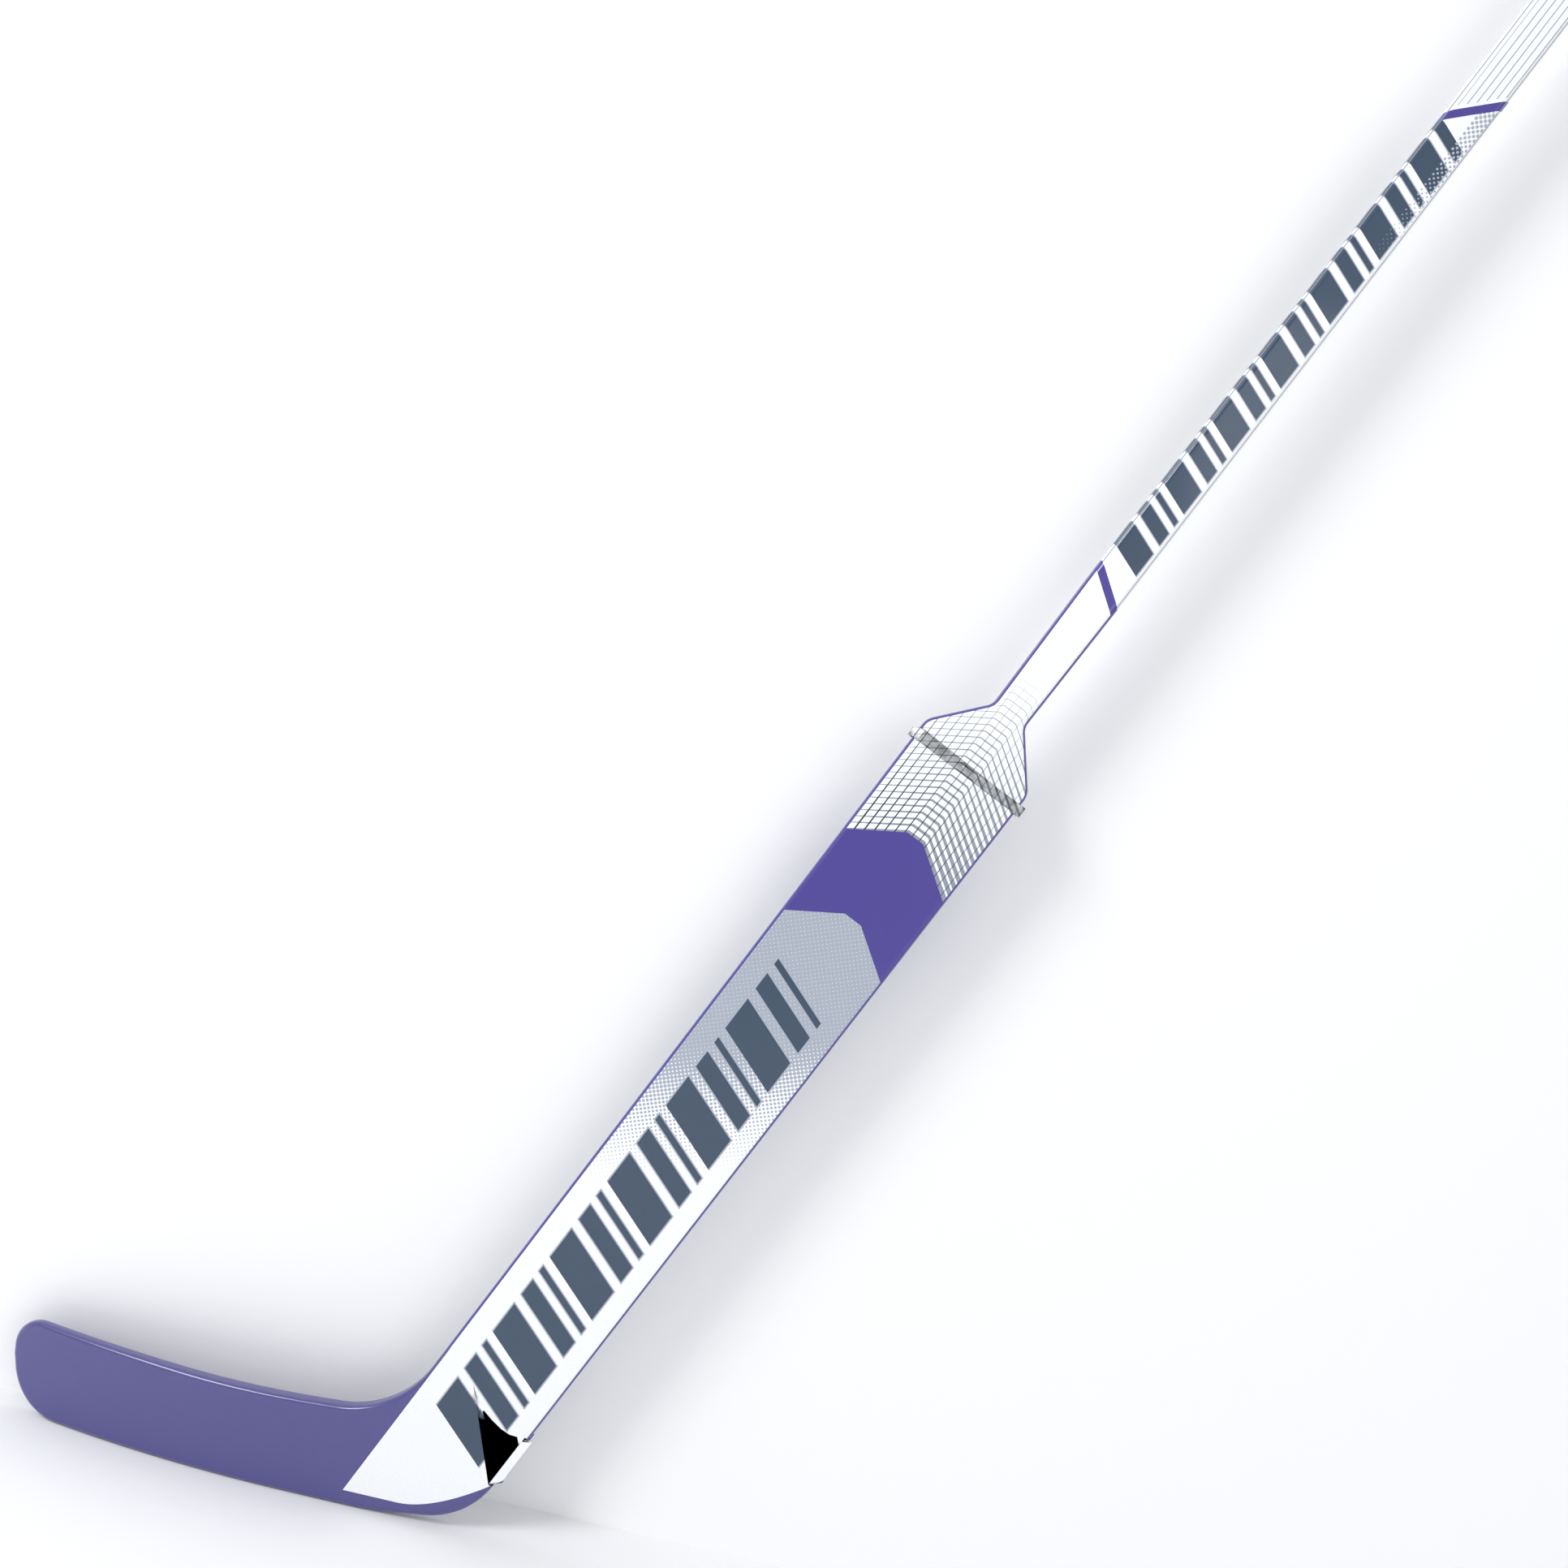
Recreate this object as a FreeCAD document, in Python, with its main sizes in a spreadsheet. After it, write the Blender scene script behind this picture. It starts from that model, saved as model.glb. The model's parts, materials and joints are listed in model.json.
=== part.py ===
import FreeCAD, Part
import math
import os
import Sketcher

# Ice hockey goaltender's stick, millimetres, +Z up.
#
# The blade's sole rests on z = 0 with its toe towards -X. The paddle and the shaft rise towards +X at the
# lie angle. The face that is seen from -Y is the front, and the blade's toe curves away from it, to +Y.
# The origin is on the sole, where the line of the paddle's inner edge meets the ice.
#
# How the stick comes apart: a shaft tube slides over the spigot of a shoulder block. The paddle is a stem
# with a foam core each side, an edge rail outside each core, and a laminate skin on each face. A heel block
# joins the stem to the blade, which is foam either side of a rib, framed by rails and closed by two skins.

DIMENSIONS = {
    # overall
    "lie_angle": 65.0,
    "stick_length": 1560.0,
    # paddle
    "paddle_width": 89.0,
    "paddle_length": 684.0,
    "shoulder_rise": 36.0,
    "shoulder_radius": 13.0,
    "neck_radius": 10.0,
    "neck_width": 27.6,
    "neck_depth": 19.0,
    "neck_taper": 105.0,
    "heel_thickness": 13.0,
    "seam_height": 90.0,
    # shaft
    "shaft_width": 30.0,
    "shaft_depth": 20.0,
    "shaft_corner": 4.8,
    "shaft_wall": 2.0,
    "spigot_length": 80.0,
    "glue_gap": 0.1,
    # butt end plug
    "plug_flange": 6.0,
    "plug_shank": 42.0,
    "plug_rib": 3.0,
    "plug_pitch": 9.0,
    "plug_groove": 0.8,
    "plug_ribs": 4.0,
    "plug_round": 2.5,
    # blade
    "blade_length": 370.0,
    "heel_height": 77.0,
    "waist_height": 69.5,
    "waist_run": 178.0,
    "waist_radius": 1400.0,
    "toe_height": 73.0,
    "toe_thickness": 8.5,
    "toe_lean": 14.0,
    "toe_top_radius": 22.0,
    "toe_sole_radius": 44.0,
    "heel_radius": 60.0,
    "heel_lift": 10.0,
    "rocker_run": 70.0,
    "rocker_radius": 340.0,
    "throat_radius": 76.0,
    "curve_start": 35.0,
    "curve_depth": 28.0,
    # build-up
    "edge_radius": 3.6,
    "skin": 1.2,
    "rail_width": 6.0,
    "stem_width": 26.0,
    "stem_tongue": 25.0,
    "shoulder_block": 70.0,
    "heel_block": 25.0,
    "rib_level": 34.0,
    "rib_height": 9.0,
    "toe_cap": 42.0,
    "film": 0.15,
    "sole_margin": 11.0,
    "shaft_print_length": 430.0,
}

doc = FreeCAD.newDocument("goalie_stick")
sheet = doc.addObject("Spreadsheet::Sheet", "Dims")
for row, (alias, value) in enumerate(DIMENSIONS.items(), 1):
    sheet.set(f"A{row}", alias)
    sheet.set(f"B{row}", str(value))
    sheet.setAlias(f"B{row}", alias)
doc.recompute()

OVERRUN = 60.0          # how far a cutter reaches past what it cuts
HALF_DEPTH = 60.0       # half the reach of a cutter across the stick's thickness


def dims(formula):
    """A formula in the sheet's aliases, as an expression that any object can be bound to."""
    words = []
    word = ""
    for letter in formula + " ":
        if letter.isalnum() or letter == "_":
            word += letter
            continue
        words.append(f"Dims.{word}" if word in DIMENSIONS else word)
        words.append(letter)
        word = ""
    return "".join(words).strip()


def value_of(formula):
    """The number that a formula in the sheet's aliases gives now."""
    return float(sheet.evalExpression(dims(formula)))


def bind(target, **formulas):
    """Bind properties of an object to formulas; a double underscore stands for a dot."""
    for name, formula in formulas.items():
        target.setExpression(name.replace("__", "."), dims(formula))


# Places that several pieces share, as formulas. "Along" is measured up the stick from the heel's corner, and
# "across" from the paddle's centre line towards the heel side.
HEEL_X = "paddle_width / sin(lie_angle)"
NECK = "paddle_length + shoulder_rise"
TOE_X = f"({HEEL_X} - blade_length)"


def along_x(along, across):
    return f"{HEEL_X} + ({along}) * cos(lie_angle) + (({across}) - paddle_width / 2) * sin(lie_angle)"


def along_z(along, across):
    return f"({along}) * sin(lie_angle) - (({across}) - paddle_width / 2) * cos(lie_angle)"


def stand_on_axis(item, along="0", across="0"):
    """Turn an object whose own Z runs up the stick to the lie angle, and set it at a place on the stick."""
    item.Placement.Rotation = FreeCAD.Rotation(FreeCAD.Vector(0, 1, 0), 1)
    bind(item, Placement__Rotation__Angle="90 - lie_angle",
         Placement__Base__x=along_x(along, across), Placement__Base__z=along_z(along, across))


# Sketches -----------------------------------------------------------------------------------------------

def new_body(name):
    body = doc.addObject("PartDesign::Body", name)
    body.Label = name
    return body


def sketch_on(body, role, name):
    """An empty sketch flat on one of the body's own origin planes."""
    sketch = body.newObject("Sketcher::SketchObject", name)
    plane = next(item for item in body.Origin.OriginFeatures if item.Role == role)
    sketch.AttachmentSupport = [(plane, "")]
    sketch.MapMode = "FlatFace"
    return sketch


def set_size(sketch, index, formula):
    sketch.setExpression(f".Constraints[{index}]", dims(formula))


def place_point(sketch, x, y):
    """A construction point whose two distances from the origin follow formulas."""
    spot = FreeCAD.Vector(value_of(x), value_of(y), 0)
    point = sketch.addGeometry(Part.Point(spot), True)
    across = sketch.addConstraint(Sketcher.Constraint("DistanceX", -1, 1, point, 1, spot.x))
    set_size(sketch, across, x)
    up = sketch.addConstraint(Sketcher.Constraint("DistanceY", -1, 1, point, 1, spot.y))
    set_size(sketch, up, y)
    return point, spot


def rounded_outline(sketch, corners):
    """A closed outline of straight lines through the given corners, each rounded by a tangent arc.

    A corner is (x formula, y formula, radius formula), and a radius of None leaves it sharp.
    """
    marks = [place_point(sketch, x, y) for x, y, radius in corners]
    spots = [spot for point, spot in marks]
    count = len(corners)
    starts = []
    ends = []
    rounds = []
    for here in range(count):
        back = (spots[here - 1] - spots[here]).normalize()
        onward = (spots[(here + 1) % count] - spots[here]).normalize()
        radius = corners[here][2]
        size = value_of(radius) if radius else 0.0
        half = back.getAngle(onward) / 2
        reach = size / math.tan(half)
        ends.append(spots[here] + back * reach)
        starts.append(spots[here] + onward * reach)
        centre = spots[here] + (back + onward).normalize() * (size / math.sin(half))
        rounds.append(centre)
    lines = []
    for here in range(count):
        after = (here + 1) % count
        lines.append(sketch.addGeometry(Part.LineSegment(starts[here], ends[after])))
    for here in range(count):
        before = lines[here - 1]
        after = lines[here]
        radius = corners[here][2]
        point = marks[here][0]
        if radius is None:
            sketch.addConstraint(Sketcher.Constraint("Coincident", before, 2, point, 1))
            sketch.addConstraint(Sketcher.Constraint("Coincident", after, 1, point, 1))
            continue
        middle = (spots[here] - rounds[here]).normalize() * value_of(radius) + rounds[here]
        arc = sketch.addGeometry(Part.Arc(ends[here], middle, starts[here]))
        arc_first = (sketch.getPoint(arc, 1) - ends[here]).Length < 1e-6
        sketch.addConstraint(Sketcher.Constraint("Tangent", before, 2, arc, 1 if arc_first else 2))
        sketch.addConstraint(Sketcher.Constraint("Tangent", after, 1, arc, 2 if arc_first else 1))
        sketch.addConstraint(Sketcher.Constraint("PointOnObject", point, 1, before))
        sketch.addConstraint(Sketcher.Constraint("PointOnObject", point, 1, after))
        held = sketch.addConstraint(Sketcher.Constraint("Radius", arc, value_of(radius)))
        set_size(sketch, held, radius)


def rounded_section(sketch, width, depth, radius):
    """A rectangle centred on the sketch's origin, with four equal rounded corners."""
    half_w = f"({width}) / 2"
    half_d = f"({depth}) / 2"
    rounded_outline(sketch, [(f"-{half_w}", f"-{half_d}", radius), (half_w, f"-{half_d}", radius),
                             (half_w, half_d, radius), (f"-{half_w}", half_d, radius)])


def section_at(body, name, rise="0", grow="0", share=None):
    """A rounded section of the shaft on its axis, some way up the body, grown all round by a formula.

    The shaft is at its full size, or, with a share from 0 to 1, part of the way from the neck's size to it.
    """
    sketch = sketch_on(body, "XY_Plane", name)
    bind(sketch, AttachmentOffset__Base__z=rise)
    width, depth = "shaft_width", "shaft_depth"
    if share is not None:
        width = f"(neck_width + (shaft_width - neck_width) * ({share}))"
        depth = f"(neck_depth + (shaft_depth - neck_depth) * ({share}))"
    rounded_section(sketch, f"{width} + 2 * ({grow})", f"{depth} + 2 * ({grow})", f"shaft_corner + ({grow})")
    return sketch


def loft(body, kind, name, low, high):
    """A straight-sided loft between two sections, added to the body or taken from it."""
    feature = body.newObject(f"PartDesign::{kind}Loft", name)
    feature.Profile = low
    feature.Sections = [high]
    feature.Ruled = True
    low.Visibility = False
    high.Visibility = False
    return feature


def pad(body, sketch, name, length, both_ways=False):
    """Pad a sketch, along its normal or half to each side of it."""
    feature = body.newObject("PartDesign::Pad", name)
    feature.Profile = sketch
    feature.Midplane = both_ways
    bind(feature, Length=length)
    sketch.Visibility = False
    return feature


# Shared blanks ------------------------------------------------------------------------------------------

def stick_corners():
    """The outline of paddle and blade on the X-Z plane, run on past the neck so that it can be cut there."""
    half = "paddle_width / 2"
    half_neck = "neck_width / 2"
    top = f"{NECK} + 2 * rail_width"
    heel_rise = "heel_lift / sin(lie_angle)"
    throat_rise = "(heel_height - paddle_width * cos(lie_angle)) / sin(lie_angle)"
    return [
        (along_x(top, half_neck), along_z(top, half_neck), None),
        (along_x(NECK, half_neck), along_z(NECK, half_neck), "neck_radius"),
        (along_x("paddle_length", half), along_z("paddle_length", half), "shoulder_radius"),
        (along_x(heel_rise, half), "heel_lift", "heel_radius"),
        (f"{HEEL_X} - rocker_run", "0", "rocker_radius"),
        (f"{TOE_X} + toe_lean", "0", "toe_sole_radius"),
        (TOE_X, "toe_height", "toe_top_radius"),
        (f"{HEEL_X} - waist_run", "waist_height", "waist_radius"),
        (along_x(throat_rise, f"-{half}"), "heel_height", "throat_radius"),
        (along_x("paddle_length", f"-{half}"), along_z("paddle_length", f"-{half}"), "shoulder_radius"),
        (along_x(NECK, f"-{half_neck}"), along_z(NECK, f"-{half_neck}"), "neck_radius"),
        (along_x(top, f"-{half_neck}"), along_z(top, f"-{half_neck}"), None),
    ]


def face_prism(name, inset=None):
    """Everything inside the stick's outline, or inside the outline drawn in by a formula."""
    source = outline
    if inset:
        source = doc.addObject("Part::Offset2D", f"{name}_outline")
        source.Source = outline
        source.Join = 0
        bind(source, Value=f"-({inset})")
    prism = doc.addObject("Part::Extrusion", name)
    prism.Base = source
    prism.DirMode = "Custom"
    prism.Dir = FreeCAD.Vector(0, 1, 0)
    prism.LengthFwd = 2 * HALF_DEPTH
    prism.Symmetric = True
    prism.Solid = True
    return prism


def paddle_layer(name, front_seam, front_neck, back_seam, back_neck, start="seam_height", end=NECK):
    """The part of the paddle between two faces that may draw apart up the stick.

    Each face is given by its Y at the seam and at the neck. The wedge is run between start and end, so its
    own ends are read off those two straight lines.
    """
    layer = doc.addObject("Part::Wedge", name)
    stretch = f"({NECK} - seam_height)"

    def at(place, seam, neck):
        return f"{seam} + (({neck}) - ({seam})) * (({place}) - seam_height) / {stretch}"

    layer.Xmin = layer.X2min = -HALF_DEPTH
    layer.Xmax = layer.X2max = HALF_DEPTH
    layer.Placement.Rotation = FreeCAD.Rotation(FreeCAD.Vector(0, 1, 0), 1)
    bind(layer, Ymin=start, Ymax=end,
         Zmin=f"-({at(start, back_seam, back_neck)})", Zmax=f"-({at(start, front_seam, front_neck)})",
         Z2min=f"-({at(end, back_seam, back_neck)})", Z2max=f"-({at(end, front_seam, front_neck)})")
    # The wedge grows along its own Y and is thick along its own Z: a turn about X brings them to Z and -Y.
    turned = doc.addObject("Part::Compound", f"{name}_on_axis")
    layer.Placement = FreeCAD.Placement(FreeCAD.Vector(0, 0, 0),
                                        FreeCAD.Rotation(FreeCAD.Vector(1, 0, 0), 90))
    turned.Links = [layer]
    stand_on_axis(turned)
    return turned


def blade_layer(name, front_heel, front_toe, back_heel, back_toe):
    """The part of the blade between two curved faces, each flat at the heel and then a tangent arc.

    Each face is given by its Y at the heel and by how far from mid-thickness it is at the toe.
    """
    body = new_body(name)
    sketch = sketch_on(body, "XY_Plane", f"{name}_plan")
    start_x = "-curve_start"
    heel_end = f"{HEEL_X} + {OVERRUN}"
    run = f"(-{TOE_X} - curve_start)"
    lines = []
    arcs = []
    for heel_y, toe_y in ((front_heel, front_toe), (back_heel, back_toe)):
        toe_place = f"curve_depth + ({toe_y})"
        ends = [place_point(sketch, heel_end, heel_y), place_point(sketch, start_x, heel_y),
                place_point(sketch, TOE_X, toe_place)]
        far, near, tip = [spot for point, spot in ends]
        line = sketch.addGeometry(Part.LineSegment(far, near))
        rise = tip.y - near.y
        radius = (value_of(run) ** 2 + rise ** 2) / (2 * rise)
        centre = FreeCAD.Vector(near.x, near.y + radius, 0)
        half_turn = math.asin(value_of(run) / radius) / 2
        middle = centre + FreeCAD.Vector(-math.sin(half_turn), -math.cos(half_turn), 0) * radius
        arc = sketch.addGeometry(Part.Arc(near, middle, tip))
        arc_first = (sketch.getPoint(arc, 1) - near).Length < 1e-6
        sketch.addConstraint(Sketcher.Constraint("Coincident", line, 1, ends[0][0], 1))
        sketch.addConstraint(Sketcher.Constraint("Coincident", line, 2, ends[1][0], 1))
        sketch.addConstraint(Sketcher.Constraint("Tangent", line, 2, arc, 1 if arc_first else 2))
        sketch.addConstraint(Sketcher.Constraint("Coincident", arc, 2 if arc_first else 1, ends[2][0], 1))
        lines.append((line, far))
        arcs.append((arc, 2 if arc_first else 1, tip))
    heel_side = sketch.addGeometry(Part.LineSegment(lines[0][1], lines[1][1]))
    sketch.addConstraint(Sketcher.Constraint("Coincident", heel_side, 1, lines[0][0], 1))
    sketch.addConstraint(Sketcher.Constraint("Coincident", heel_side, 2, lines[1][0], 1))
    toe_side = sketch.addGeometry(Part.LineSegment(arcs[0][2], arcs[1][2]))
    sketch.addConstraint(Sketcher.Constraint("Coincident", toe_side, 1, arcs[0][0], arcs[0][1]))
    sketch.addConstraint(Sketcher.Constraint("Coincident", toe_side, 2, arcs[1][0], arcs[1][1]))
    pad(body, sketch, f"{name}_pad", "2 * (seam_height + paddle_width)", both_ways=True)
    return body


def axis_box(name, across_low, across_high, along_low, along_high):
    """A box in the paddle's own directions, right through its thickness."""
    box = doc.addObject("Part::Box", name)
    stand_on_axis(box, along_low, across_low)
    box.Placement.Base.y = -HALF_DEPTH
    box.Width = 2 * HALF_DEPTH
    bind(box, Length=f"({across_high}) - ({across_low})", Height=f"({along_high}) - ({along_low})")
    return box


def blade_box(name, x_low, x_high, z_low, z_high):
    """A box in the blade's own directions, right through its thickness."""
    box = doc.addObject("Part::Box", name)
    box.Placement.Base.y = -HALF_DEPTH
    box.Width = 2 * HALF_DEPTH
    bind(box, Placement__Base__x=x_low, Placement__Base__z=z_low,
         Length=f"({x_high}) - ({x_low})", Height=f"({z_high}) - ({z_low})")
    return box


def common(name, *items):
    result = doc.addObject("Part::MultiCommon", name)
    result.Shapes = list(items)
    result.Label = name
    return result


def cut(name, base, tool):
    result = doc.addObject("Part::Cut", name)
    result.Base = base
    result.Tool = tool
    result.Label = name
    return result


def fuse(name, *items):
    result = doc.addObject("Part::MultiFuse", name)
    result.Shapes = list(items)
    result.Label = name
    return result


def along_of(point):
    """How far up the stick a point lies, from the heel's corner."""
    lie = math.radians(DIMENSIONS["lie_angle"])
    return (point.x - value_of(HEEL_X)) * math.cos(lie) + point.z * math.sin(lie)


def round_edges(name, blank, open_ends):
    """Round the edges between the blank's faces and its rim, but not those where it is cut across.

    A rim edge runs along a face of the blank: no end of it strays inside the thickness.
    """
    doc.recompute()
    radius = DIMENSIONS["edge_radius"]
    picked = []
    for number, edge in enumerate(blank.Shape.Edges, 1):
        first, last = edge.Vertexes[0].Point, edge.Vertexes[-1].Point
        at_cut = any(abs(along_of(first) - place) < 0.01 and abs(along_of(last) - place) < 0.01
                     for place in open_ends)
        through = abs(abs(edge.tangentAt((edge.FirstParameter + edge.LastParameter) / 2).y)) > 0.9
        if not at_cut and not through:
            picked.append((number, radius, radius))
    rounded = doc.addObject("Part::Fillet", name)
    rounded.Base = blank
    rounded.Edges = picked
    return rounded


outline_body = new_body("outline_body")
outline = sketch_on(outline_body, "XZ_Plane", "outline")
rounded_outline(outline, stick_corners())
doc.recompute()

outline_prism = face_prism("outline_prism")
skin_prism = face_prism("skin_prism", "rail_width")
print_prism = face_prism("print_prism", "edge_radius")

HEEL_HALF = "heel_thickness / 2"
NECK_HALF = "neck_depth / 2"
TOE_HALF = "toe_thickness / 2"
PROUD = 1.0             # how far the cutter for an outer skin stands out of the face that it takes


def layer_pair(name, outer, inner):
    """The layer of the paddle and the layer of the blade between two depths, one on each side.

    A depth is measured outwards from the laminate's outer face on the back, and as its mirror on the front.
    """
    front_outer, front_inner = f"-({HEEL_HALF} + {outer})", f"-({HEEL_HALF} + {inner})"
    back_outer, back_inner = f"{HEEL_HALF} + {outer}", f"{HEEL_HALF} + {inner}"
    neck_outer, neck_inner = f"{NECK_HALF} + {outer}", f"{NECK_HALF} + {inner}"
    toe_outer, toe_inner = f"{TOE_HALF} + {outer}", f"{TOE_HALF} + {inner}"
    return {
        "paddle_front": paddle_layer(f"paddle_front_{name}", front_outer, f"-({neck_outer})",
                                     front_inner, f"-({neck_inner})"),
        "paddle_back": paddle_layer(f"paddle_back_{name}", back_inner, neck_inner, back_outer, neck_outer),
        "blade_front": blade_layer(f"blade_front_{name}", front_outer, f"-({toe_outer})",
                                   front_inner, f"-({toe_inner})"),
        "blade_back": blade_layer(f"blade_back_{name}", back_inner, toe_inner, back_outer, toe_outer),
    }


def full_layers(name, depth):
    """The paddle's and the blade's whole thickness, out to a depth on both faces."""
    heel, neck, toe = (f"({half} + {depth})" for half in (HEEL_HALF, NECK_HALF, TOE_HALF))
    return (paddle_layer(f"paddle_{name}", f"-{heel}", f"-{neck}", heel, neck),
            blade_layer(f"blade_{name}", f"-{heel}", f"-{toe}", heel, toe))


paddle_whole, blade_whole = full_layers("whole", "0")
paddle_inside, blade_inside = full_layers("inside", "-skin")
skin_layers = layer_pair("skin_layer", PROUD, "-skin")
film_layers = layer_pair("film_layer", "film", "0")

above_seam = axis_box("above_seam", f"-{OVERRUN}", f"{OVERRUN}", "seam_height", f"{NECK} + {OVERRUN}")
paddle_form = round_edges("paddle_form", common("paddle_blank", outline_prism, paddle_whole),
                          [value_of("seam_height"), value_of(NECK)])
blade_blank = cut("blade_blank", common("blade_run", outline_prism, blade_whole), above_seam)
blade_form = round_edges("blade_form", blade_blank, [value_of("seam_height")])
doc.recompute()

# Shaft --------------------------------------------------------------------------------------------------

WALL = "-shaft_wall"
BORE_FIT = "-(shaft_wall + glue_gap)"
TAPER_END = f"({NECK} + neck_taper)"

shaft_tube = new_body("shaft_tube")
loft(shaft_tube, "Additive", "taper", section_at(shaft_tube, "neck_section", share="0"),
     section_at(shaft_tube, "taper_section", "neck_taper"))
upper_length = f"stick_length - plug_flange - {TAPER_END}"
pad(shaft_tube, section_at(shaft_tube, "upper_section", "neck_taper"), "upper_shaft", upper_length)
loft(shaft_tube, "Subtractive", "taper_bore", section_at(shaft_tube, "neck_bore", "0", WALL, share="0"),
     section_at(shaft_tube, "taper_end_bore", "neck_taper", WALL))
upper_bore = shaft_tube.newObject("PartDesign::Pocket", "upper_bore")
upper_bore.Profile = section_at(shaft_tube, "bore_section", "neck_taper", WALL)
upper_bore.Reversed = True
bind(upper_bore, Length=upper_length)
stand_on_axis(shaft_tube, NECK)

butt_plug = new_body("butt_plug")
pad(butt_plug, section_at(butt_plug, "flange_section"), "flange", "plug_flange")
shank = pad(butt_plug, section_at(butt_plug, "shank_section", "0", f"{BORE_FIT} - plug_groove"),
            "shank", "plug_shank")
shank.Reversed = True
rib = pad(butt_plug, section_at(butt_plug, "rib_section", "-(plug_pitch - plug_rib)", BORE_FIT),
          "plug_rib_pad", "plug_rib")
rib.Reversed = True
doc.recompute()
ribs = butt_plug.newObject("PartDesign::LinearPattern", "plug_rib_row")
ribs.Originals = [rib]
up_axis = next(item for item in butt_plug.Origin.OriginFeatures if item.Role == "Z_Axis")
ribs.Direction = (up_axis, [""])
ribs.Reversed = True
bind(ribs, Length="plug_pitch * (plug_ribs - 1)", Occurrences="plug_ribs")
butt_plug.Tip = ribs
doc.recompute()
top = DIMENSIONS["plug_flange"]
rim = [f"Edge{number}" for number, edge in enumerate(ribs.Shape.Edges, 1)
       if all(abs(corner.Z - top) < 1e-6 for corner in edge.Vertexes)]
butt_round = butt_plug.newObject("PartDesign::Fillet", "butt_round")
butt_round.Base = (ribs, rim)
bind(butt_round, Radius="plug_round")
butt_plug.Tip = butt_round
stand_on_axis(butt_plug, "stick_length - plug_flange")

# Paddle -------------------------------------------------------------------------------------------------

HALF_WIDTH = "paddle_width / 2"
HALF_STEM = "stem_width / 2"
BLOCK_LOW = f"({NECK} - shoulder_block)"

paddle_front_skin = common("paddle_front_skin", paddle_form, skin_prism, skin_layers["paddle_front"])
paddle_back_skin = common("paddle_back_skin", paddle_form, skin_prism, skin_layers["paddle_back"])

stem_box = axis_box("stem_box", f"-{HALF_STEM}", HALF_STEM, "seam_height", f"{BLOCK_LOW} + stem_tongue")
tongue_box = axis_box("tongue_box", f"-{HALF_STEM}", HALF_STEM, "seam_height - stem_tongue", "seam_height")
paddle_stem = fuse("paddle_stem", common("stem_run", paddle_inside, stem_box),
                   common("stem_tongue_run", blade_inside, tongue_box))

paddle_rim = cut("paddle_rim", paddle_form, skin_prism)
for side, sign in (("left", "-"), ("right", "")):
    low, high = sorted((f"{sign}{HALF_STEM}", f"{sign}({HALF_WIDTH} + {PROUD})"), key=value_of)
    half_box = axis_box(f"{side}_box", low, high, "seam_height", BLOCK_LOW)
    common(f"paddle_rail_{side}", paddle_rim, half_box)
    common(f"paddle_core_{side}", skin_prism, paddle_inside, half_box)

block_box = axis_box("block_box", f"-({HALF_WIDTH} + {PROUD})", f"{HALF_WIDTH} + {PROUD}", BLOCK_LOW, NECK)
block_blank = common("block_blank", paddle_form, block_box)
block_faces = fuse("block_faces", paddle_front_skin, paddle_back_skin, paddle_stem)
block_core = cut("block_core", block_blank, block_faces)
spigot = new_body("spigot")
loft(spigot, "Additive", "spigot_loft", section_at(spigot, "spigot_foot", "0", BORE_FIT, share="0"),
     section_at(spigot, "spigot_top", "spigot_length", BORE_FIT, share="spigot_length / neck_taper"))
stand_on_axis(spigot, NECK)
shoulder_block = fuse("shoulder_block", block_core, spigot)

# Blade --------------------------------------------------------------------------------------------------

CAP_X = f"({TOE_X} + toe_cap)"
RIB_TOP = "rib_level + rib_height"
OVER = f"heel_height + {OVERRUN}"

blade_front_skin = common("blade_front_skin", blade_form, skin_prism, skin_layers["blade_front"])
blade_back_skin = common("blade_back_skin", blade_form, skin_prism, skin_layers["blade_back"])
blade_skins = fuse("blade_skins", blade_front_skin, blade_back_skin)

heel_box = blade_box("heel_box", "-heel_block", f"{HEEL_X} + {OVERRUN}", f"-{PROUD}", f"{OVER}")
heel_blank = cut("heel_blank", common("heel_run", blade_form, heel_box), blade_skins)
heel_block = cut("heel_block", heel_blank, paddle_stem)

cap_box = blade_box("cap_box", f"{TOE_X} - {PROUD}", CAP_X, f"-{PROUD}", OVER)
toe_cap = cut("toe_cap", common("cap_run", blade_form, cap_box), blade_skins)

blade_rim = cut("blade_rim", blade_form, skin_prism)
for name, low, high in (("blade_sole_rail", f"-{PROUD}", "rib_level"), ("blade_top_rail", "rib_level", OVER)):
    common(name, blade_rim, blade_box(f"{name}_box", CAP_X, "-heel_block", low, high))

for name, low, high in (("blade_core_lower", f"-{PROUD}", "rib_level"), ("blade_rib", "rib_level", RIB_TOP),
                        ("blade_core_upper", RIB_TOP, OVER)):
    common(name, skin_prism, blade_inside, blade_box(f"{name}_box", CAP_X, "-heel_block", low, high))

# Printed films ------------------------------------------------------------------------------------------

panel_box = axis_box("panel_box", f"-{HALF_WIDTH}", HALF_WIDTH, f"-{OVERRUN}", "seam_height")
margin_box = blade_box("margin_box", "-blade_length", f"{HEEL_X} + {OVERRUN}", "sole_margin", OVER)
for side in ("front", "back"):
    paddle_film = common(f"paddle_film_{side}", print_prism, film_layers[f"paddle_{side}"])
    heel_film = common(f"heel_film_{side}", print_prism, film_layers[f"blade_{side}"], panel_box, margin_box)
    fuse(f"paddle_print_{side}", paddle_film, heel_film)

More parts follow.
